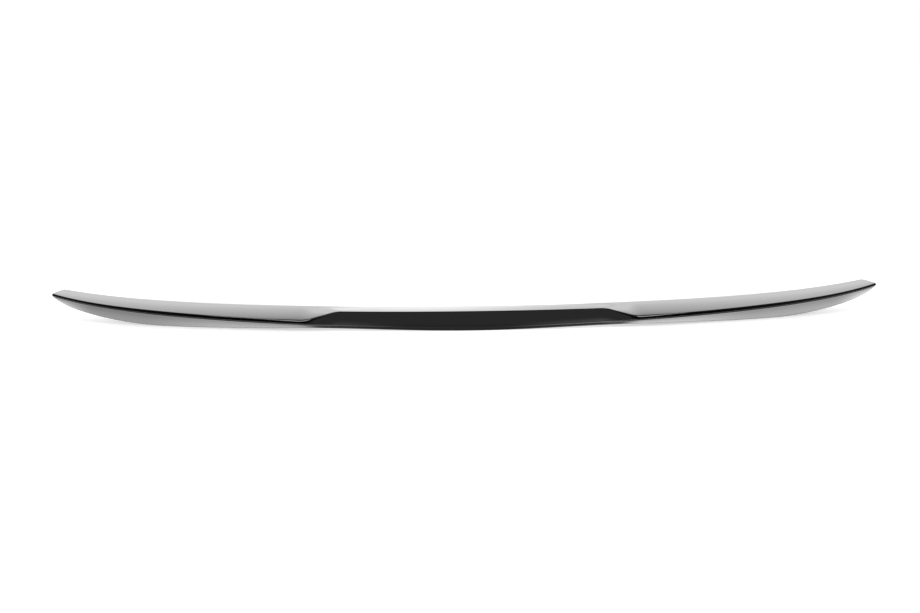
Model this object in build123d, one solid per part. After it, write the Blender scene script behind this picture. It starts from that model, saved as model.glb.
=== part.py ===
from build123d import *
import os
from math import cos, pi, radians, sin, tan

# Lip spoiler for a saloon's boot lid: one moulded shell, open underneath and at the front.
# X runs across the car, Y towards its front and Z up. It stands on its rear lower edge.

# Lengths in mm, angles in degrees
overall_width = 1300.0   # from lip tip to lip tip
plan_bow = 150.0         # how far forward the lip's tips lie of its middle
wall = 3.0               # moulded skin

# Lip: the narrow rear face along the wings
lip_face = 4.8           # its height
tip_face = 3.3           # its height at the tip
tip_taper = 450.0        # distance from the centre line where it starts to taper
lip_lean = 30.0          # its lean towards the front
lip_overhang = 3.0       # how far it stands out behind the return face's foot
lip_round = 1.2          # round on its upper edge
lip_bevel = 1.2          # bevel on its lower edge
point_round = 4.0        # softer round on its upper edge beside the facet
point_fade = 75.0        # length over which that softer round fades out
lip_height = 9.3         # middle of the face, extended to the centre line
lip_rise = 19.4          # even rise of the lip from the centre line to the tip
tip_upsweep = 10.7       # further rise, nearly all of it at the tip

# Facet: the tall rear face in the middle, pointed at both ends
facet_width = 504.0      # from point to point
facet_top_width = 410.0  # between the upper corners
facet_height = 28.5      # upper edge over the ground
facet_lean = 16.0        # its lean towards the front
facet_corner = 8.0       # half the length of the round at an upper corner
facet_blend = 10.0       # half the length of the blend at a point
facet_foot = 4.5         # height of the return face that is left under it
facet_step = 0.3         # how far it stands out behind that face

# Return face: from the lip or facet down to the trimmed lower edge
return_lean = 8.0        # its lean towards the front; under the facet it turns to the facet's lean
return_crown = 0.035     # how much its slope changes from mid-height to either edge
undercut = 3.0           # hollow round under the lip
foot_span = 930.0        # between the two places where the wings touch the ground
foot_arch = 3.6          # clear height of the lower edge between the middle and a foot
foot_curl = 28.0         # rise of the lower edge from a foot to the tip
foot_bevel = 0.4         # bevel on the lower edge
facet_foot_bevel = 1.5   # the same under the facet
tip_return = 1.2         # height of the return face that is left at the tip

# Top skin, from the leading edge to the lip or facet
front_width = 1275.0     # leading edge from corner to corner
front_chord = 78.0       # its distance from the foot on the centre line
front_bow = 116.0        # how far forward its corners lie of its middle
front_height = 24.3      # its height on the centre line
front_rise = 4.4         # even rise to the corner
front_upsweep = 11.7     # further rise, nearly all of it near the corner
front_thickness = 2.0    # the skin thins to this at the leading edge
crown = 0.08             # how much the slope changes from mid-chord to either edge of a wing
tip_crown = 0.06         # the same at the tip
crown_fade = 300.0       # distance from the centre line where it starts to change to that
kick_crown = 0.04        # the same above the facet
kick_fade = 75.0         # half the width over which the kick fades nearer the leading edge

half_width = overall_width / 2
half_front = front_width / 2
half_facet = facet_width / 2
half_facet_top = facet_top_width / 2
half_foot = foot_span / 2
facet_start = half_facet_top - facet_corner
facet_end = half_facet + facet_blend

UPSWEEP_POWER = 10       # keeps the lip's upsweep at the tip
FRONT_POWER = 6          # the same for the leading edge
CENTRE_STATIONS = 9
POINT_STATIONS = 13
WING_STATIONS = 15


def ramp(x, start, end):
    """Share of the way from start to end, held at 0 before and at 1 after."""
    return min(max((x - start) / (end - start), 0.0), 1.0)


def ease(x, start, end):
    """The same share with a soft start and finish."""
    share = ramp(x, start, end)
    return share * share * (3 - 2 * share)


def mix(a, b, share):
    """Value or point between a and b."""
    return a + (b - a) * share


def along(start, towards, distance):
    """Point at a distance from start in the direction of another point."""
    return start + (towards - start).normalized() * distance


def step(forward, up):
    """Move within a section."""
    return Vector(0, forward, up)


def lip_middle(x):
    """Height of the middle of the lip's rear face."""
    u = x / half_width
    return lip_height + lip_rise * u**2 + tip_upsweep * u**UPSWEEP_POWER


def lower_edge(x):
    """Height of the trimmed lower edge: on the ground at the middle and at each foot."""
    if x < half_foot:
        return foot_arch * sin(pi * x / half_foot)**2
    k = (x - half_foot) / (half_width - half_foot)
    tip = lip_middle(half_width) - tip_face / 2 - tip_return
    return foot_curl * k**2 + (tip - foot_curl) * k**UPSWEEP_POWER


def facet_share(x):
    """Share of the facet in the rear face: 1 in the middle, 0 on the wings, rounded between."""
    run = half_facet - half_facet_top
    if x < half_facet_top + facet_corner:
        return 1 - max(x - facet_start, 0.0)**2 / (4 * facet_corner * run)
    if x > half_facet - facet_blend:
        return max(facet_end - x, 0.0)**2 / (4 * facet_blend * run)
    return (half_facet - x) / run


def section(x):
    """Closed outline of the shell in the plane at x, as a wire."""
    at = abs(x)
    foot = plan_bow * (at / half_width)**2
    ground = lower_edge(at)
    bottom = Vector(x, foot, ground)
    twist = ease(at, facet_end, half_facet_top)
    setback = mix(tan(radians(return_lean)), tan(radians(facet_lean)), twist)

    # Rear face on a wing and in the middle
    face = mix(lip_face, tip_face, ease(at, tip_taper, half_width))
    lip_low = Vector(x, foot - lip_overhang, lip_middle(at) - face / 2)
    lip_top = lip_low + step(face * tan(radians(lip_lean)), face)
    facet_low = bottom + step(facet_foot * setback - facet_step, facet_foot)
    facet_rise = facet_height - facet_low.Z
    facet_top = facet_low + step(facet_rise * tan(radians(facet_lean)), facet_rise)
    share = facet_share(at)
    top = mix(lip_top, facet_top, share)
    low = mix(lip_low, facet_low, share)

    # Return face below it, with a hollow round in the corner
    drop = low.Z - ground
    recess = bottom + step(drop * setback, drop)
    hollow = along(recess, bottom, undercut * drop / (drop + undercut))
    bevel = mix(foot_bevel, facet_foot_bevel, share)
    foot_start = along(bottom, hollow, bevel)
    foot_end = bottom + step(bevel, 0)
    belly = mix(hollow, foot_start, 0.5) - step((hollow.Z - foot_start.Z) * return_crown / 2, 0)

    # Top skin: the kick above the facet fades out over a wider band towards the front
    v = at / half_front
    front_up = front_height + front_rise * v**2 + front_upsweep * v**FRONT_POWER
    front = Vector(x, front_chord + front_bow * v**2, front_up)

    def handles(rear, bend):
        third = (front.Y - rear.Y) / 3
        slope = (front.Z - rear.Z) / (front.Y - rear.Y)
        return front - step(third, third * (slope - bend)), rear + step(third, third * (slope + bend))

    wing_fore, wing_aft = handles(lip_top, mix(crown, tip_crown, ease(at, crown_fade, half_width)))
    kick_fore, kick_aft = handles(facet_top, kick_crown)
    kick = ease(at, half_facet_top + kick_fade, half_facet_top - kick_fade)
    fore = mix(wing_fore, kick_fore, kick)
    aft = mix(wing_aft, kick_aft, share * (2 - share))

    # Inner side, one wall away, with the lip left solid
    lip_depth = lip_overhang + face / 2 + wall
    facet_depth = wall / cos(radians(facet_lean)) - wall * tan(radians(facet_lean))
    nose = mix(lip_depth, facet_depth, share)
    slope = (aft.Z - top.Z) / (aft.Y - top.Y)
    inner_top = top + step(nose, nose * slope - wall)
    inner_low = hollow + step(wall, 0)
    inner_foot = bottom + step(wall, 0)
    front_low = front - step(0, front_thickness)

    # Softened edges of the rear face
    soft = ease(at, half_facet + point_fade, facet_end) * (1 - share)
    top_round = mix(lip_round, point_round, soft)
    top_end = along(top, aft, top_round)
    rear_start = along(top, low, top_round)
    rear_end = along(low, top, lip_bevel)
    under_start = along(low, recess, min(lip_bevel, recess.Y - low.Y) / 2)
    return Wire([
        Bezier(front, fore, aft, top_end),
        Bezier(top_end, top, rear_start),
        Line(rear_start, rear_end),
        Line(rear_end, under_start),
        Bezier(under_start, recess, hollow),
        Bezier(hollow, belly, foot_start),
        Line(foot_start, foot_end),
        Line(foot_end, inner_foot),
        Line(inner_foot, inner_low),
        Line(inner_low, inner_top),
        Bezier(inner_top, aft - step(0, wall), fore - step(0, wall), front_low),
        Line(front_low, front),
    ])


def span(start, end, stations):
    """Smooth solid through sections at evenly spaced stations."""
    pitch = (end - start) / (stations - 1)
    return Solid.make_loft([section(start + i * pitch) for i in range(stations)])


def end_plane(side):
    """Upright plane of an end: from the lip's tip to the leading edge's corner."""
    lip_tip = Vector(side * half_width, plan_bow - lip_overhang)
    corner = Vector(side * half_front, front_chord + front_bow)
    run = corner - lip_tip
    return Plane(origin=lip_tip, z_dir=(side * run.Y, -side * run.X, 0))


def spoiler_shell():
    """The whole shell, standing on its lower edge with the middle of its box over the origin."""
    centre = span(-facet_start, facet_start, CENTRE_STATIONS)
    point_end = span(facet_start, facet_end, POINT_STATIONS)
    wing = span(facet_end, half_width, WING_STATIONS)
    side = Part() + [point_end, wing]
    shell = centre + side + mirror(side, about=Plane.YZ)
    for sign in (1, -1):
        shell = split(shell, bisect_by=end_plane(sign), keep=Keep.BOTTOM)
    box = shell.bounding_box()
    return Pos(0, -box.center().Y, -box.min.Z) * shell


os.makedirs("parts", exist_ok=True)
export_step(spoiler_shell(), "parts/spoiler_shell.step")
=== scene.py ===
"""Gloss black boot-lid spoiler, dressed for its studio picture.

The shell is skinned from the same rule as the solid that it stands for: a row of cross-sections along the
span, each a closed ring of cubic curves. Its sizes are in millimetres and the studio's in metres. X runs
across the car, Y towards its front and Z up.
"""
import logging
import math
from dataclasses import dataclass, field
from enum import IntEnum
from typing import Any, Optional

import bmesh
import bpy
import numpy as np
from mathutils import Matrix, Vector


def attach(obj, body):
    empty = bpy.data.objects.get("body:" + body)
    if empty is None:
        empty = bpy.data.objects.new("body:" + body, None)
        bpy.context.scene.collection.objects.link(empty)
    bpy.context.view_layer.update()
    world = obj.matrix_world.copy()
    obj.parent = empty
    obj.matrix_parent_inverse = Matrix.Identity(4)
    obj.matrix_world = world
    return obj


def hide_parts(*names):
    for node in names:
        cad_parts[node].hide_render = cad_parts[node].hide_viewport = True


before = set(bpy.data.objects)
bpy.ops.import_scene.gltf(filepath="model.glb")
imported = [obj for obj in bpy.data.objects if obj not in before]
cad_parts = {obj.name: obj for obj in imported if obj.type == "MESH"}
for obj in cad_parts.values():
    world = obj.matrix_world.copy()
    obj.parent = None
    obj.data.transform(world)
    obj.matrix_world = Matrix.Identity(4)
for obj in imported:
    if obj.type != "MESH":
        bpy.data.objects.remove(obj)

Numbers = float | np.ndarray

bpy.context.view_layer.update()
MM = 0.001
CONTROL_POINTS = 4    # of a cubic curve
PHOTO_WIDTH = 920     # pixels
LOG = logging.getLogger("spoiler")


class Band(IntEnum):
    """Bands of the shell's cross-section, in the order they follow each other round it."""

    TOP_SKIN = 0
    CREASE = 1
    REAR_FACE = 2
    LOWER_CREASE = 3
    UNDERCUT = 4
    RETURN_FACE = 5
    FOOT_BEVEL = 6
    FOOT = 7
    INNER_RETURN = 8
    INNER_REAR = 9
    INNER_TOP = 10
    LEADING_EDGE = 11


class Side(IntEnum):
    """Sides of the studio, as the sign of their X."""

    LEFT = -1
    RIGHT = 1


def linear(hex_colour: str) -> tuple[float, float, float, float]:
    """Turns an sRGB hex colour into linear RGBA.

    Args:
        hex_colour: six hex digits after a hash sign.

    Returns:
        Linear red, green, blue and an alpha of 1.
    """
    parts = [int(hex_colour[i:i + 2], 16) / 255 for i in (1, 3, 5)]
    red, green, blue = [c / 12.92 if c <= 0.04045 else ((c + 0.055) / 1.055) ** 2.4 for c in parts]
    return red, green, blue, 1.0


def add_node(
    tree: bpy.types.NodeTree, kind: str, inputs: Optional[dict] = None, **settings: Any
) -> bpy.types.Node:
    """Adds a node with its settings and links.

    Args:
        tree: node tree that gets the node.
        kind: type name of the node.
        inputs: socket name or index, with the value or the output socket that feeds it.
        **settings: properties of the node.

    Returns:
        The new node.
    """
    node = tree.nodes.new(kind)
    for name, value in settings.items():
        setattr(node, name, value)
    for key, value in (inputs or {}).items():
        if isinstance(value, bpy.types.NodeSocket):
            tree.links.new(value, node.inputs[key])
        else:
            node.inputs[key].default_value = value
    return node


def blank_material(name: str) -> bpy.types.Material:
    """Makes a material whose node tree is empty.

    Args:
        name: name of the material.

    Returns:
        The new material.
    """
    material = bpy.data.materials.new(name)
    material.use_nodes = True
    material.node_tree.nodes.clear()
    return material


def mesh_object(name: str, points: list, faces: list) -> bpy.types.Object:
    """Makes an object with a mesh of its own and links it to the scene.

    Args:
        name: name of the object and of its mesh.
        points: places of the points in metres.
        faces: the points' numbers, face by face.

    Returns:
        The new object.
    """
    mesh = bpy.data.meshes.new(name)
    mesh.from_pydata(points, [], faces)
    thing = bpy.data.objects.new(name, mesh)
    bpy.context.scene.collection.objects.link(thing)
    return thing


def pair(forward: Numbers, up: Numbers) -> np.ndarray:
    """Points of a section from their distance forward and height."""
    return np.stack(np.broadcast_arrays(forward, up), axis=-1).astype(float)


def mix(a: Numbers, b: Numbers, share: np.ndarray) -> np.ndarray:
    """Finds values or points between two others.

    Args:
        a: values or points at a share of 0.
        b: values or points at a share of 1.
        share: how far to go from the first to the second, section by section.

    Returns:
        The values or points between them.
    """
    if np.ndim(a) > np.ndim(share):
        share = share[..., None]
    return a + (b - a) * share


def along(start: np.ndarray, towards: np.ndarray, distance: Numbers) -> np.ndarray:
    """Finds points at a distance from others.

    Args:
        start: points to start from.
        towards: points that give the direction.
        distance: how far to go.

    Returns:
        The points at that distance.
    """
    run = towards - start
    length = np.linalg.norm(run, axis=-1, keepdims=True)
    return start + run / length * np.asarray(distance)[..., None]


def ease(x: np.ndarray, start: float, end: float) -> np.ndarray:
    """Share of the way from start to end, with a soft start and finish."""
    share = np.clip((x - start) / (end - start), 0.0, 1.0)
    return share * share * (3 - 2 * share)


def straight(a: np.ndarray, b: np.ndarray) -> np.ndarray:
    """Control points of a straight band."""
    return np.stack([a, a + (b - a) / 3, b + (a - b) / 3, b], axis=-2)


def bent(a: np.ndarray, corner: np.ndarray, b: np.ndarray) -> np.ndarray:
    """Control points of a band that rounds a corner."""
    return np.stack([a, a + (corner - a) * 2 / 3, b + (corner - b) * 2 / 3, b], axis=-2)


@dataclass(frozen=True)
class GlossBlackABS:
    """Gloss black ABS, moulded in a polished tool and lacquered.

    The eye gets hardly any colour of its own from it: it shows its surroundings, weakly when seen square on
    and strongly at a low angle, with a faint ripple along the flow of the moulding.
    """

    name: str = "gloss_black_moulded_ABS"
    colour: str = "#030304"
    ior: float = 1.5

    # Polish, which changes a little from one wiped patch to the next
    roughness: tuple[float, float] = (0.035, 0.085)
    smudge_size_mm: float = 60.0
    smudge_detail: float = 3.0
    smudge_noise: tuple[float, float] = (0.35, 0.7)   # noise that gives the best and the worst polish

    # Orange peel of the lacquer, drawn at the coarse end of its real sizes so that it shows
    peel_size_mm: float = 7.0
    peel_detail: float = 1.5
    peel_height_mm: float = 0.0016

    # Ripple that the plastic's flow leaves along the span
    flow_width_mm: float = 9.0
    flow_length_mm: float = 220.0
    flow_detail: float = 1.0
    flow_height_mm: float = 0.008

    def build(self) -> bpy.types.Material:
        """Builds the material.

        Returns:
            The finished material.
        """
        material = blank_material(self.name)
        tree = material.node_tree
        place = add_node(tree, "ShaderNodeTexCoord").outputs["Object"]
        flow_cell = (self.flow_length_mm, self.flow_width_mm, self.flow_width_mm)
        flow_scale = [1 / (size * MM) for size in flow_cell]
        flow_place = add_node(tree, "ShaderNodeMapping", {"Vector": place, "Scale": flow_scale}).outputs[0]
        flow = add_node(tree, "ShaderNodeTexNoise",
                        {"Vector": flow_place, "Scale": 1.0, "Detail": self.flow_detail})
        peel = add_node(tree, "ShaderNodeTexNoise",
                        {"Vector": place, "Scale": 1 / (self.peel_size_mm * MM), "Detail": self.peel_detail})
        smudge = add_node(tree, "ShaderNodeTexNoise",
                          {"Vector": place, "Scale": 1 / (self.smudge_size_mm * MM),
                           "Detail": self.smudge_detail})
        best, worst = self.smudge_noise
        smooth, rough = self.roughness
        polish = add_node(tree, "ShaderNodeMapRange",
                          {"Value": smudge.outputs["Fac"], "From Min": best, "From Max": worst,
                           "To Min": smooth, "To Max": rough})
        ripple = add_node(tree, "ShaderNodeBump",
                          {"Height": flow.outputs["Fac"], "Strength": 1.0,
                           "Distance": self.flow_height_mm * MM})
        skin = add_node(tree, "ShaderNodeBump",
                        {"Height": peel.outputs["Fac"], "Strength": 1.0,
                         "Distance": self.peel_height_mm * MM, "Normal": ripple.outputs[0]})
        shader = add_node(tree, "ShaderNodeBsdfPrincipled",
                          {"Base Color": linear(self.colour), "Roughness": polish.outputs[0],
                           "IOR": self.ior, "Normal": skin.outputs[0]})
        add_node(tree, "ShaderNodeOutputMaterial", {"Surface": shader.outputs[0]})
        return material


@dataclass(frozen=True)
class Glow:
    """Brightness that changes from place to place: what it starts from, and its changes.

    Each change says where it starts, where it ends, and by how much the brightness changes there. Places are
    angles in degrees in the room, and distances in metres on a lamp and on the paper.
    """

    start: float
    changes: tuple[tuple[float, float, float], ...]

    def build(self, tree: bpy.types.NodeTree, place: bpy.types.NodeSocket) -> bpy.types.NodeSocket:
        """Adds the nodes of the glow.

        Args:
            tree: node tree of the room, the lamp or the paper.
            place: the angle or distance that the glow follows.

        Returns:
            The socket with the brightness.
        """
        total: Any = self.start
        for low, high, change in self.changes:
            step = add_node(tree, "ShaderNodeMapRange",
                            {"Value": place, "From Min": low, "From Max": high,
                             "To Min": 0.0, "To Max": change},
                            interpolation_type="SMOOTHSTEP").outputs[0]
            total = add_node(tree, "ShaderNodeMath", {0: total, 1: step}, operation="ADD").outputs[0]
        return total


@dataclass(frozen=True)
class WhiteSweepPaper:
    """Matt white studio paper, uncoated.

    The eye gets a white from it that runs out to pure white, with the soft shadow of what lies on it. Where
    it is seen or mirrored it has a painted glow, stronger near its middle and far out, which washes that
    shadow out there, and weaker in the ring between.
    """

    name: str = "matt_white_sweep_paper"
    colour: str = "#D8D8D8"

    # Painted glow that it adds where it is seen or mirrored, by the distance from its middle: stronger near
    # the middle and far out, where it washes out the shadow, and weaker in the ring between
    lift: Glow = Glow(0.68, ((0.18, 0.3, -0.2), (0.5, 0.64, 0.18)))

    def build(self) -> bpy.types.Material:
        """Builds the material.

        Returns:
            The finished material.
        """
        material = blank_material(self.name)
        tree = material.node_tree
        place = add_node(tree, "ShaderNodeTexCoord").outputs["Object"]
        away = add_node(tree, "ShaderNodeVectorMath", {0: place}, operation="LENGTH").outputs["Value"]
        # painted glow by the distance from the middle, which washes out the shadow near the middle and far
        # out
        lift = self.lift.build(tree, away)
        path = add_node(tree, "ShaderNodeLightPath").outputs
        mirrored = add_node(tree, "ShaderNodeMath",
                            {0: path["Is Glossy Ray"], 1: path["Is Transmission Ray"]},
                            operation="MAXIMUM").outputs[0]
        seen = add_node(tree, "ShaderNodeMath", {0: path["Is Camera Ray"], 1: mirrored},
                        operation="MAXIMUM").outputs[0]
        strength = add_node(tree, "ShaderNodeMath", {0: seen, 1: lift}, operation="MULTIPLY").outputs[0]
        glow = add_node(tree, "ShaderNodeEmission", {"Strength": strength}).outputs[0]
        paper = add_node(tree, "ShaderNodeBsdfDiffuse", {"Color": linear(self.colour)}).outputs[0]
        both = add_node(tree, "ShaderNodeAddShader", {0: paper, 1: glow}).outputs[0]
        add_node(tree, "ShaderNodeOutputMaterial", {"Surface": both})
        return material


@dataclass(frozen=True)
class LitOpalAcrylic:
    """Cast opal acrylic with lamps behind it.

    The eye gets a glow without lamps or edges in it, which changes along the sheet and up it.
    """

    name: str
    along_it: Glow
    up_it: Glow

    def build(self) -> bpy.types.Material:
        """Builds the material, which lets through what is behind the sheet.

        Returns:
            The finished material.
        """
        material = blank_material(self.name)
        tree = material.node_tree
        place = add_node(tree, "ShaderNodeTexCoord").outputs["Object"]
        sideways, _, up = add_node(tree, "ShaderNodeSeparateXYZ", {0: place}).outputs
        strength = add_node(tree, "ShaderNodeMath",
                            {0: self.along_it.build(tree, sideways), 1: self.up_it.build(tree, up)},
                            operation="MULTIPLY").outputs[0]
        glow = add_node(tree, "ShaderNodeEmission", {"Strength": strength}).outputs[0]
        clear = add_node(tree, "ShaderNodeBsdfTransparent").outputs[0]
        both = add_node(tree, "ShaderNodeAddShader", {0: clear, 1: glow}).outputs[0]
        add_node(tree, "ShaderNodeOutputMaterial", {"Surface": both})
        return material


@dataclass
class SpoilerShell:
    """The one moulded shell: its finish, its sizes in millimetres and degrees, and its mesh."""

    finish: GlossBlackABS
    node: str = "spoiler_shell"
    slot: str = "gloss_black_abs"

    overall_width: float = 1300.0     # from lip tip to lip tip
    plan_bow: float = 150.0           # how far forward the lip's tips lie of its middle
    wall: float = 3.0                 # moulded skin
    box_middle: float = 97.2          # from the foot on the centre line forward to the origin

    # Lip: the narrow rear face along the wings
    lip_face: float = 4.8             # its height
    tip_face: float = 3.3             # its height at the tip
    tip_taper: float = 450.0          # distance from the centre line where it starts to taper
    lip_lean: float = 30.0            # its lean towards the front
    lip_overhang: float = 3.0         # how far it stands out behind the return face's foot
    lip_round: float = 1.2            # round on its upper edge
    lip_bevel: float = 1.2            # round on its lower edge
    point_round: float = 4.0          # softer round on its upper edge beside the facet
    point_fade: float = 75.0          # length over which that softer round fades out
    lip_height: float = 9.3           # middle of the face, extended to the centre line
    lip_rise: float = 19.4            # even rise of the lip from the centre line to the tip
    tip_upsweep: float = 10.7         # further rise, nearly all of it at the tip
    upsweep_power: int = 10           # keeps that rise at the tip

    # Facet: the tall rear face in the middle, pointed at both ends
    facet_width: float = 504.0        # from point to point
    facet_top_width: float = 410.0    # between the upper corners
    facet_height: float = 28.5        # upper edge over the ground
    facet_lean: float = 16.0          # its lean towards the front
    facet_corner: float = 8.0         # half the length of the round at an upper corner
    facet_blend: float = 10.0         # half the length of the blend at a point
    facet_foot: float = 4.5           # height of the return face that is left under it
    facet_step: float = 0.3           # how far it stands out behind that face
    facet_tuck: float = 0.085         # how much its slope changes towards its lower edge

    # Return face: from the lip or facet down to the trimmed lower edge
    return_lean: float = 8.0          # its lean towards the front
    return_crown: float = 0.035       # how much its slope changes from mid-height to either edge
    undercut: float = 3.0             # hollow round under the lip
    foot_span: float = 930.0          # between the two places where the wings touch the ground
    foot_arch: float = 3.6            # clear height of the lower edge between the middle and a foot
    foot_curl: float = 28.0           # rise of the lower edge from a foot to the tip
    foot_bevel: float = 0.4           # round on the lower edge
    facet_foot_bevel: float = 1.5     # the same under the facet
    tip_return: float = 1.2           # height of the return face that is left at the tip

    # Top skin, from the leading edge to the lip or facet
    front_width: float = 1275.0       # leading edge from corner to corner
    front_chord: float = 78.0         # its distance from the foot on the centre line
    front_bow: float = 116.0          # how far forward its corners lie of its middle
    front_height: float = 24.3        # its height on the centre line
    front_rise: float = 4.4           # even rise to the corner
    front_upsweep: float = 11.7       # further rise, nearly all of it near the corner
    front_power: int = 6              # keeps that rise near the corner
    front_thickness: float = 2.0      # the skin thins to this at the leading edge
    crown: float = 0.08               # how much the slope changes from mid-chord to either edge of a wing
    tip_crown: float = 0.06           # the same at the tip
    crown_fade: float = 300.0         # distance from the centre line where it starts to change to that
    kick_crown: float = 0.04          # the same above the facet
    kick_fade: float = 75.0           # half the width over which the kick fades nearer the leading edge

    # Mesh: the distances between sections, and how they are joined
    wide_step: float = 5.0            # where the form hardly changes
    slope_step: float = 1.5           # along the facet's slanted edge
    point_step: float = 2.5           # beside the facet's point
    point_end: float = 320.0          # where those end
    tip_step: float = 2.0             # where the sections turn to the slanted end
    slant_start: float = 560.0        # where they start to turn
    slant_passes: int = 4             # rounds in which the turned sections settle
    band_steps: int = 14              # faces across a band
    weld_distance: float = 0.01       # points nearer than this become one
    sharp_angle: float = 40.0         # edges over this stay sharp

    half_width: float = field(init=False)
    half_front: float = field(init=False)
    half_facet: float = field(init=False)
    half_facet_top: float = field(init=False)

    def __post_init__(self) -> None:
        """Works out the half widths that the rule uses."""
        self.half_width = self.overall_width / 2
        self.half_front = self.front_width / 2
        self.half_facet = self.facet_width / 2
        self.half_facet_top = self.facet_top_width / 2

    def lip_middle(self, x: Numbers) -> Numbers:
        """Height of the middle of the lip's rear face."""
        out = x / self.half_width
        return self.lip_height + self.lip_rise * out ** 2 + self.tip_upsweep * out ** self.upsweep_power

    def lower_edge(self, x: np.ndarray) -> np.ndarray:
        """Finds the height of the trimmed lower edge: on the ground in the middle and at each foot.

        Args:
            x: distances from the centre line.

        Returns:
            Heights of the edge there.
        """
        half_foot = self.foot_span / 2
        past = np.maximum((x - half_foot) / (self.half_width - half_foot), 0.0)
        tip = self.lip_middle(self.half_width) - self.tip_face / 2 - self.tip_return
        curl = self.foot_curl * past ** 2 + (tip - self.foot_curl) * past ** self.upsweep_power
        arch = self.foot_arch * np.sin(math.pi * x / half_foot) ** 2
        return np.where(x < half_foot, arch, curl)

    def facet_share(self, x: np.ndarray) -> np.ndarray:
        """Finds the share of the facet in the rear face, which is rounded at its corners and points.

        Args:
            x: distances from the centre line.

        Returns:
            Shares there: 1 in the middle and 0 on the wings.
        """
        run = self.half_facet - self.half_facet_top
        corner = np.clip(x - self.half_facet_top + self.facet_corner, 0.0, 2 * self.facet_corner)
        blend = np.clip(self.half_facet + self.facet_blend - x, 0.0, 2 * self.facet_blend)
        upper = 1 - corner ** 2 / (4 * self.facet_corner * run)
        lower = blend ** 2 / (4 * self.facet_blend * run)
        sloped = (self.half_facet - x) / run
        inner_half = np.where(corner < 2 * self.facet_corner, upper, sloped)
        outer_half = np.where(blend < 2 * self.facet_blend, lower, sloped)
        return np.where(x < (self.half_facet + self.half_facet_top) / 2, inner_half, outer_half)

    @staticmethod
    def handles(front: np.ndarray, rear: np.ndarray, bend: Numbers) -> tuple[np.ndarray, np.ndarray]:
        """Finds the inner control points of the top skin between its leading edge and its rear edge.

        Args:
            front: points of the leading edge.
            rear: points of the rear edge.
            bend: how much the slope changes from mid-chord to either edge.

        Returns:
            The control points nearer the front and nearer the rear.
        """
        chord = front - rear
        third = chord[..., 0] / 3
        slope = chord[..., 1] / chord[..., 0]
        return front - pair(third, third * (slope - bend)), rear + pair(third, third * (slope + bend))

    def ring(self, x: np.ndarray) -> np.ndarray:
        """Finds the control points of the cross-sections at distances from the centre line.

        Args:
            x: distances from the centre line, none of them negative.

        Returns:
            Array of sections, bands, control points, and forward and up.
        """
        foot = self.plan_bow * (x / self.half_width) ** 2
        ground = self.lower_edge(x)
        bottom = pair(foot, ground)
        inward = np.array([self.wall, 0.0])
        down = np.array([0.0, -self.wall])

        # Rear face on a wing and in the middle
        middle = self.lip_middle(x)
        face = mix(self.lip_face, self.tip_face, ease(x, self.tip_taper, self.half_width))
        lip_low = pair(foot - self.lip_overhang, middle - face / 2)
        lip_top = lip_low + pair(face * math.tan(math.radians(self.lip_lean)), face)
        lean = math.tan(math.radians(self.facet_lean))
        twist = ease(x, self.half_facet + self.facet_blend, self.half_facet_top)
        setback = mix(math.tan(math.radians(self.return_lean)), lean, twist)
        facet_low = pair(foot + self.facet_foot * setback - self.facet_step, ground + self.facet_foot)
        facet_rise = self.facet_height - facet_low[..., 1]
        facet_top = pair(facet_low[..., 0] + facet_rise * lean, self.facet_height)
        share = self.facet_share(x)
        top = mix(lip_top, facet_top, share)
        low = mix(lip_low, facet_low, share)

        # Return face below it, with a hollow round in the corner and a round at its foot
        drop = low[..., 1] - ground
        recess = pair(foot + drop * setback, low[..., 1])
        hollow = along(recess, bottom, self.undercut * drop / (drop + self.undercut))
        bevel = mix(self.foot_bevel, self.facet_foot_bevel, share)
        foot_start = along(bottom, hollow, bevel)
        foot_end = along(bottom, bottom + inward, bevel)
        belly = (hollow + foot_start) / 2 - pair((hollow - foot_start)[..., 1] * self.return_crown / 2, 0.0)

        # Top skin: the kick above the facet fades out over a wider band towards the front
        out = x / self.half_front
        upsweep = self.front_upsweep * out ** self.front_power
        front_up = self.front_height + self.front_rise * out ** 2 + upsweep
        front = pair(self.front_chord + self.front_bow * out ** 2, front_up)
        bend = mix(self.crown, self.tip_crown, ease(x, self.crown_fade, self.half_width))
        wing_fore, wing_aft = self.handles(front, lip_top, bend)
        kick_fore, kick_aft = self.handles(front, facet_top, self.kick_crown)
        kick = ease(x, self.half_facet_top + self.kick_fade, self.half_facet_top - self.kick_fade)
        fore = mix(wing_fore, kick_fore, kick)
        aft = mix(wing_aft, kick_aft, share * (2 - share))

        # Inner side, one wall away, with the lip left solid
        facet_depth = self.wall / math.cos(math.radians(self.facet_lean)) - self.wall * lean
        lip_depth = self.lip_overhang + face / 2 + self.wall
        nose = mix(lip_depth, facet_depth, share)
        slope = (aft[..., 1] - top[..., 1]) / (aft[..., 0] - top[..., 0])
        inner_top = top + down + pair(nose, nose * slope)
        inner_low = hollow + inward

        # Leading edge: handles of two thirds of its thickness make it half round
        front_low = front - np.array([0.0, self.front_thickness])
        ahead = front - fore
        nose_low = along(front_low, front_low + ahead, self.front_thickness * 2 / 3)
        nose_top = along(front, front + ahead, self.front_thickness * 2 / 3)

        # Softened edges of the rear face, and the facet's bend towards its lower edge
        soft = ease(x, self.half_facet + self.point_fade, self.half_facet + self.facet_blend) * (1 - share)
        top_round = mix(self.lip_round, self.point_round, soft)
        top_end = along(top, aft, top_round)
        rear_start = along(top, low, top_round)
        rear_end = along(low, top, self.lip_bevel)
        under_start = along(low, recess, np.minimum(self.lip_bevel, (recess - low)[..., 0]) / 2)
        rear = straight(rear_start, rear_end)
        rear[..., 2, 0] -= self.facet_tuck * share * (rear_start - rear_end)[..., 1] / 3

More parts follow.
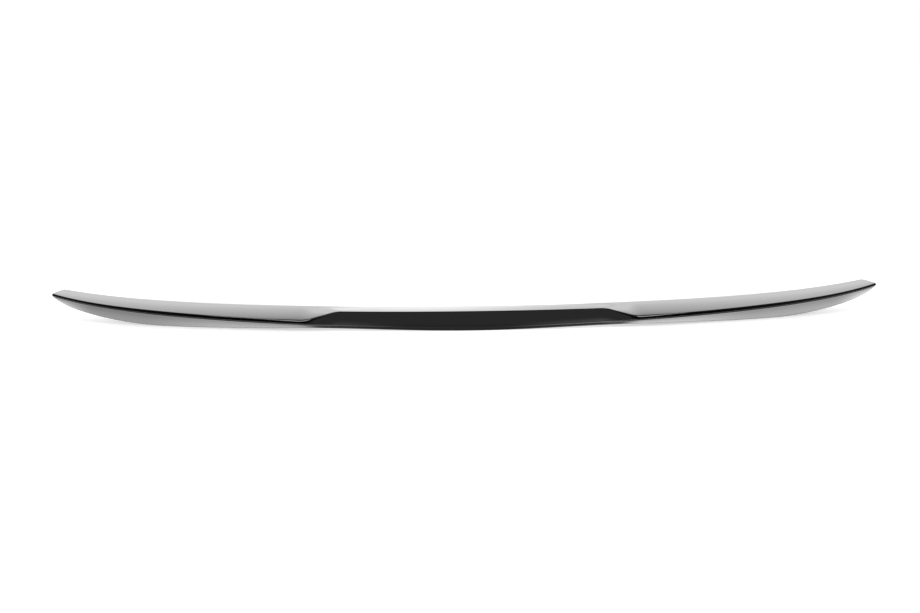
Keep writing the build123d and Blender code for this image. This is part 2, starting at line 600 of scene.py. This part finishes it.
        bands = {
            Band.TOP_SKIN: np.stack([front, fore, aft, top_end], axis=-2),
            Band.CREASE: bent(top_end, top, rear_start),
            Band.REAR_FACE: rear,
            Band.LOWER_CREASE: bent(rear_end, low, under_start),
            Band.UNDERCUT: bent(under_start, recess, hollow),
            Band.RETURN_FACE: bent(hollow, belly, foot_start),
            Band.FOOT_BEVEL: bent(foot_start, bottom, foot_end),
            Band.FOOT: straight(foot_end, bottom + inward),
            Band.INNER_RETURN: straight(bottom + inward, inner_low),
            Band.INNER_REAR: straight(inner_low, inner_top),
            Band.INNER_TOP: np.stack([inner_top, aft + down, fore + down, front_low], axis=-2),
            Band.LEADING_EDGE: np.stack([front_low, nose_low, nose_top, front], axis=-2),
        }
        return np.stack([bands[band] for band in Band], axis=-3)

    def stations(self) -> np.ndarray:
        """Places the sections, closer together where the form changes fast.

        Returns:
            Distances from the centre line, out to the tip.
        """
        corner = self.half_facet_top - self.facet_corner
        spans = (
            (0.0, corner, self.wide_step),
            (corner, self.half_facet, self.slope_step),
            (self.half_facet, self.point_end, self.point_step),
            (self.point_end, self.slant_start, self.wide_step),
            (self.slant_start, self.half_width, self.tip_step),
        )
        rows = [np.linspace(a, b, round((b - a) / step), endpoint=False) for a, b, step in spans]
        return np.append(np.concatenate(rows), self.half_width)

    def cage(self) -> np.ndarray:
        """Finds the control points of all sections from the left end to the right one.

        Towards an end the sections turn to its slant, from the lip's tip to the leading edge's corner. So
        each control point has a distance from the centre line of its own, which settles in a few rounds.

        Returns:
            Array of sections, bands, control points, and X, Y and Z in metres.
        """
        x = self.stations()[:, None, None]
        shape = (len(x), len(Band), CONTROL_POINTS)
        end_depth = self.front_chord + self.front_bow - (self.plan_bow - self.lip_overhang)
        end_slant = (self.half_width - self.half_front) / end_depth
        slant = end_slant * ease(x, self.slant_start, self.half_width)
        lip_forward = self.plan_bow * (x / self.half_width) ** 2 - self.lip_overhang
        own_x = np.broadcast_to(x, shape)
        section, band, point = np.indices(shape)
        for _ in range(self.slant_passes):
            rings = self.ring(own_x.ravel()).reshape(*shape, len(Band), CONTROL_POINTS, 2)
            points = rings[section, band, point, band, point]
            own_x = x - slant * (points[..., 0] - lip_forward)
        right = np.concatenate([own_x[..., None], points], axis=-1)
        left = right[:0:-1] * np.array([-1.0, 1.0, 1.0])
        return (np.concatenate([left, right]) - np.array([0.0, self.box_middle, 0.0])) * MM

    def skin_tree(self) -> bpy.types.NodeTree:
        """Builds the Geometry Nodes tree that skins the cage of control points.

        Returns:
            The node tree.
        """
        tree = bpy.data.node_groups.new("section_skin", "GeometryNodeTree")
        sockets = {
            "Cage": "NodeSocketGeometry",
            "Sections": "NodeSocketInt",
            "Bands": "NodeSocketInt",
            "Band Steps": "NodeSocketInt",
            "Weld Distance": "NodeSocketFloat",
            "Finish": "NodeSocketMaterial",
        }
        for name, kind in sockets.items():
            tree.interface.new_socket(name=name, in_out="INPUT", socket_type=kind)
        tree.interface.new_socket(name="Shell", in_out="OUTPUT", socket_type="NodeSocketGeometry")
        given = add_node(tree, "NodeGroupInput").outputs
        bands, steps = given["Bands"], given["Band Steps"]

        # Grid with a row of points for each section
        around = add_node(tree, "ShaderNodeMath", {0: bands, 1: steps}, operation="MULTIPLY").outputs[0]
        row = add_node(tree, "ShaderNodeMath", {0: around, 1: 1.0}, operation="ADD").outputs[0]
        grid = add_node(tree, "GeometryNodeMeshGrid", {"Vertices X": given["Sections"], "Vertices Y": row})

        # Section and band of each grid point, and the share of the way along that band
        index = add_node(tree, "GeometryNodeInputIndex").outputs[0]
        rows = add_node(tree, "ShaderNodeMath", {0: index, 1: row}, operation="DIVIDE").outputs[0]
        section = add_node(tree, "ShaderNodeMath", {0: rows}, operation="FLOOR").outputs[0]
        place = add_node(tree, "ShaderNodeMath", {0: index, 1: row}, operation="MODULO").outputs[0]
        parts = add_node(tree, "ShaderNodeMath", {0: place, 1: steps}, operation="DIVIDE").outputs[0]
        passed = add_node(tree, "ShaderNodeMath", {0: parts}, operation="FLOOR").outputs[0]
        last = add_node(tree, "ShaderNodeMath", {0: bands, 1: 1.0}, operation="SUBTRACT").outputs[0]
        band = add_node(tree, "ShaderNodeMath", {0: passed, 1: last}, operation="MINIMUM").outputs[0]
        before = add_node(tree, "ShaderNodeMath", {0: band, 1: steps}, operation="MULTIPLY").outputs[0]
        within = add_node(tree, "ShaderNodeMath", {0: place, 1: before}, operation="SUBTRACT").outputs[0]
        share = add_node(tree, "ShaderNodeMath", {0: within, 1: steps}, operation="DIVIDE").outputs[0]

        # The band's control points, mixed in pairs until one point is left
        curve = add_node(tree, "ShaderNodeMath", {0: section, 1: bands, 2: band},
                         operation="MULTIPLY_ADD").outputs[0]
        control_place = add_node(tree, "GeometryNodeInputPosition").outputs[0]
        level = []
        for number in range(CONTROL_POINTS):
            control = add_node(tree, "ShaderNodeMath", {0: curve, 1: CONTROL_POINTS, 2: number},
                               operation="MULTIPLY_ADD").outputs[0]
            level.append(add_node(tree, "GeometryNodeSampleIndex",
                                  {"Geometry": given["Cage"], "Value": control_place, "Index": control},
                                  data_type="FLOAT_VECTOR", domain="POINT").outputs[0])
        while len(level) > 1:
            level = [add_node(tree, "ShaderNodeMix", {"Factor": share, 4: a, 5: b},
                              data_type="VECTOR").outputs[1] for a, b in zip(level, level[1:])]

        skin = add_node(tree, "GeometryNodeSetPosition",
                        {"Geometry": grid.outputs["Mesh"], "Position": level[0]})
        weld = add_node(tree, "GeometryNodeMergeByDistance",
                        {"Geometry": skin.outputs[0], "Distance": given["Weld Distance"]})
        smooth = add_node(tree, "GeometryNodeSetShadeSmooth", {"Geometry": weld.outputs[0]})
        real = add_node(tree, "GeometryNodeRealizeInstances", {"Geometry": smooth.outputs[0]})
        dressed = add_node(tree, "GeometryNodeSetMaterial",
                           {"Geometry": real.outputs[0], "Material": given["Finish"]})
        add_node(tree, "NodeGroupOutput", {"Shell": dressed.outputs[0]})
        return tree

    def build(self) -> bpy.types.Object:
        """Skins the cage and closes the two ends.

        Returns:
            The shell's object, at the origin.
        """
        cage = self.cage()
        guide = mesh_object("spoiler_cage", cage.reshape(-1, 3).tolist(), [])
        tree = self.skin_tree()
        modifier = guide.modifiers.new("skin", "NODES")
        modifier.node_group = tree
        inputs = {
            "Sections": len(cage),
            "Bands": len(Band),
            "Band Steps": self.band_steps,
            "Weld Distance": self.weld_distance * MM,
            "Finish": self.finish.build(),
        }
        for item in tree.interface.items_tree:
            if item.name in inputs:
                modifier[item.identifier] = inputs[item.name]
        evaluated = guide.evaluated_get(bpy.context.evaluated_depsgraph_get())
        mesh = bpy.data.meshes.new_from_object(evaluated)
        mesh.name = "spoiler_shell_skin"
        guide.modifiers.clear()
        bpy.data.objects.remove(guide)
        self.close_ends(mesh)
        shell = bpy.data.objects.new("spoiler_shell_skin", mesh)
        bpy.context.scene.collection.objects.link(shell)
        return shell

    def close_ends(self, mesh: bpy.types.Mesh) -> None:
        """Fills the open ring at each end, turns the faces outwards and marks the sharp edges.

        Args:
            mesh: the skinned mesh, changed in place.
        """
        work = bmesh.new()
        work.from_mesh(mesh)
        rim = [edge for edge in work.edges if edge.is_boundary]
        caps = bmesh.ops.holes_fill(work, edges=rim, sides=0)["faces"]
        bmesh.ops.triangulate(work, faces=caps, ngon_method="EAR_CLIP")
        bmesh.ops.recalc_face_normals(work, faces=work.faces)
        work.to_mesh(mesh)
        work.free()
        mesh.shade_smooth()
        mesh.set_sharp_from_angle(angle=math.radians(self.sharp_angle))

    def dress(self, shell: bpy.types.Object) -> None:
        """Lets the skin stand for the solid, on its body.

        Args:
            shell: the shell's object.
        """
        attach(shell, "root")
        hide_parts(self.node)


@dataclass(frozen=True)
class Softbox:
    """A soft lamp overhead: its place, what it points at, its size and how bright its face looks."""

    name: str
    place: tuple[float, float, float]
    aim: tuple[float, float, float]
    size: tuple[float, float]
    brightness: float

    def build(self) -> bpy.types.Object:
        """Builds the lamp.

        Returns:
            The lamp's object, which the camera doesn't see.
        """
        light = bpy.data.lights.new(self.name, "AREA")
        light.shape = "RECTANGLE"
        light.size, light.size_y = self.size
        light.energy = self.brightness * math.pi * self.size[0] * self.size[1]
        lamp = bpy.data.objects.new(self.name, light)
        lamp.location = self.place
        towards = Vector(self.aim) - Vector(self.place)
        lamp.rotation_euler = towards.to_track_quat("-Z", "Y").to_euler()
        lamp.visible_camera = False
        bpy.context.scene.collection.objects.link(lamp)
        return lamp


@dataclass(frozen=True)
class StripLamp:
    """A low lamp that stands on the floor in front of a wing: its two ends, its height and its lit face."""

    name: str
    inner: tuple[float, float]
    outer: tuple[float, float]
    height: float
    face: LitOpalAcrylic

    def build(self) -> bpy.types.Object:
        """Builds the lamp.

        Returns:
            The lamp's object, which the camera doesn't see.
        """
        run = Vector(self.outer) - Vector(self.inner)
        corners = [(0, 0, 0), (run.length, 0, 0), (run.length, 0, self.height), (0, 0, self.height)]
        lamp = mesh_object(self.name, corners, [(0, 1, 2, 3)])
        lamp.data.materials.append(self.face.build())
        lamp.location = (*self.inner, 0.0)
        lamp.rotation_euler = (0.0, 0.0, math.atan2(run.y, run.x))
        lamp.visible_camera = False
        lamp.visible_shadow = False
        return lamp


@dataclass
class Studio:
    """White sweep, softboxes overhead, strip lamps in front of the wings, and the room around them.

    Sizes and places are in metres and angles in degrees. Places and ends are those of the right-hand lamp,
    and the left-hand one stands opposite.
    """

    paper: WhiteSweepPaper = WhiteSweepPaper()
    floor_half: float = 8.0

    # Room by the angle of rise: its far side, with a lighter spot low down, and its near side
    behind: Glow = Glow(1.08, ((4.5, 10.5, 0.42), (9.0, 20.0, 0.6), (28.0, 42.0, -1.2), (42.0, 60.0, -0.6),
                               (62.0, 80.0, 0.3)))
    spot: Glow = Glow(0.5, ((5.0, 12.0, -0.5),))
    ours: Glow = Glow(0.28, ((10.0, 20.0, 0.22), (30.0, 44.0, -0.48), (62.0, 80.0, 0.6)))
    spot_aside: float = 1.0                               # the spot's middle, right of straight ahead
    spot_spread: Glow = Glow(1.0, ((0.0, 5.5, -1.0),))    # its share by the angle to either side of that
    side_blend: float = 0.3                               # sine of the angle over which the sides blend

    softbox_place: tuple[float, float, float] = (0.95, 0.06, 2.5)
    softbox_aim: tuple[float, float, float] = (0.26, -0.07, 0.0)
    softbox_size: tuple[float, float] = (0.42, 0.5)
    softbox_brightness: float = 12.0

    # Strip lamps: brightness by the height, and its share by the distance from the inner end
    strip_inner: tuple[float, float] = (0.116, -0.805)
    strip_outer: tuple[float, float] = (1.266, -0.19)
    strip_height: float = 0.265
    strip_glow: Glow = Glow(10.0, ((0.01, 0.171, -8.5), (0.094, 0.265, -1.5)))
    left_share: Glow = Glow(0.0, ((0.045, 0.314, 0.7), (0.314, 0.5, 0.42), (0.624, 0.893, -0.38),
                                  (1.007, 1.152, 1.5)))
    right_share: Glow = Glow(0.0, ((0.0, 0.263, 0.88), (0.263, 0.446, 0.56), (0.568, 0.832, -0.48),
                                   (1.05, 1.18, 1.2)))

    def build(self) -> None:
        """Builds the floor, the lamps and the room."""
        half = self.floor_half
        corners = [(-half, -half, 0), (half, -half, 0), (half, half, 0), (-half, half, 0)]
        floor = mesh_object("studio_floor", corners, [(0, 1, 2, 3)])
        floor.data.materials.append(self.paper.build())
        LOG.info("floor %s", floor.name)
        for lamp in [self.softbox(side) for side in Side] + [self.strip_lamp(side) for side in Side]:
            lamp.build()
            LOG.info("lamp %s", lamp.name)
        self.room()

    def softbox(self, side: Side) -> Softbox:
        """Sets out the softbox over a wing.

        Args:
            side: side of the studio that it stands on.

        Returns:
            The softbox, still to be built.
        """
        place, aim = ((side * x, y, z) for x, y, z in (self.softbox_place, self.softbox_aim))
        name = f"{side.name.lower()}_softbox"
        return Softbox(name, place, aim, self.softbox_size, self.softbox_brightness)

    def strip_lamp(self, side: Side) -> StripLamp:
        """Sets out the strip lamp in front of a wing.

        Args:
            side: side of the studio that it stands on.

        Returns:
            The strip lamp, still to be built.
        """
        inner, outer = ((side * x, y) for x, y in (self.strip_inner, self.strip_outer))
        name = f"{side.name.lower()}_strip"
        share = self.left_share if side is Side.LEFT else self.right_share
        face = LitOpalAcrylic(f"{name}_lit_opal_acrylic", share, self.strip_glow)
        return StripLamp(name, inner, outer, self.strip_height, face)

    def room(self) -> None:
        """Builds the room, which the camera sees as white and the lacquer as light behind the shell."""
        world = bpy.data.worlds.new("studio_room")
        world.use_nodes = True
        tree = world.node_tree
        tree.nodes.clear()
        direction = add_node(tree, "ShaderNodeTexCoord").outputs["Generated"]
        across, forward, height = add_node(tree, "ShaderNodeSeparateXYZ", {0: direction}).outputs
        angles = []
        for sine in (across, height):
            turn = add_node(tree, "ShaderNodeMath", {0: sine}, operation="ARCSINE").outputs[0]
            angles.append(add_node(tree, "ShaderNodeMath", {0: turn}, operation="DEGREES").outputs[0])
        aside, rise = angles
        past = add_node(tree, "ShaderNodeMath", {0: aside, 1: self.spot_aside},
                        operation="SUBTRACT").outputs[0]
        sideways = add_node(tree, "ShaderNodeMath", {0: past}, operation="ABSOLUTE").outputs[0]
        behind = add_node(tree, "ShaderNodeMath",
                          {0: self.spot.build(tree, rise), 1: self.spot_spread.build(tree, sideways),
                           2: self.behind.build(tree, rise)}, operation="MULTIPLY_ADD").outputs[0]
        back_share = add_node(tree, "ShaderNodeMapRange",
                              {"Value": forward, "From Min": -self.side_blend, "From Max": self.side_blend},
                              interpolation_type="SMOOTHSTEP").outputs[0]
        glow = add_node(tree, "ShaderNodeMix",
                        {"Factor": back_share, 2: self.ours.build(tree, rise), 3: behind}).outputs[0]
        camera = add_node(tree, "ShaderNodeLightPath").outputs["Is Camera Ray"]
        strength = add_node(tree, "ShaderNodeMix", {"Factor": camera, 2: glow, 3: 1.0}).outputs[0]
        surface = add_node(tree, "ShaderNodeBackground", {"Color": linear("#FFFFFF"), "Strength": strength})
        add_node(tree, "ShaderNodeOutputWorld", {"Surface": surface.outputs[0]})
        bpy.context.scene.world = world


@dataclass(frozen=True)
class PhotoCamera:
    """Camera at the photograph's place: angles in degrees, lengths in metres, focal length in pixels."""

    azimuth: float = -2.34
    elevation: float = 9.6
    roll: float = -0.37
    distance: float = 3.0
    aim: tuple[float, float, float] = (-0.0157, -0.0372, 0.027)
    focal_pixels: float = 1957.6
    sensor_mm: float = 36.0

    def build(self) -> bpy.types.Object:
        """Builds the camera and makes it the scene's own.

        Returns:
            The camera's object.
        """
        azimuth, elevation = math.radians(self.azimuth), math.radians(self.elevation)
        back = Vector((math.sin(azimuth) * math.cos(elevation), -math.cos(azimuth) * math.cos(elevation),
                       math.sin(elevation)))
        right = Vector((math.cos(azimuth), math.sin(azimuth), 0.0))
        turned = Matrix((right, back.cross(right), back)).transposed()
        spin = Matrix.Rotation(math.radians(self.roll), 3, "Z")
        lens = bpy.data.cameras.new("photo_camera")
        lens.sensor_width = self.sensor_mm
        lens.lens = self.focal_pixels * self.sensor_mm / PHOTO_WIDTH
        camera = bpy.data.objects.new("photo_camera", lens)
        place = Matrix.Translation(Vector(self.aim) + back * self.distance)
        camera.matrix_world = place @ (turned @ spin).to_4x4()
        bpy.context.scene.collection.objects.link(camera)
        bpy.context.scene.camera = camera
        return camera


def main() -> None:
    """Builds the shell, the studio and the camera in order."""
    logging.basicConfig(level=logging.INFO, format="%(name)s: %(message)s")
    bpy.context.scene.view_settings.view_transform = "Standard"
    shell = SpoilerShell(finish=GlossBlackABS())
    skin = shell.build()
    shell.dress(skin)
    LOG.info("piece %s: %d faces", skin.name, len(skin.data.polygons))
    Studio().build()
    camera = PhotoCamera().build()
    LOG.info("camera %s", camera.name)


if __name__ == "__main__":
    main()
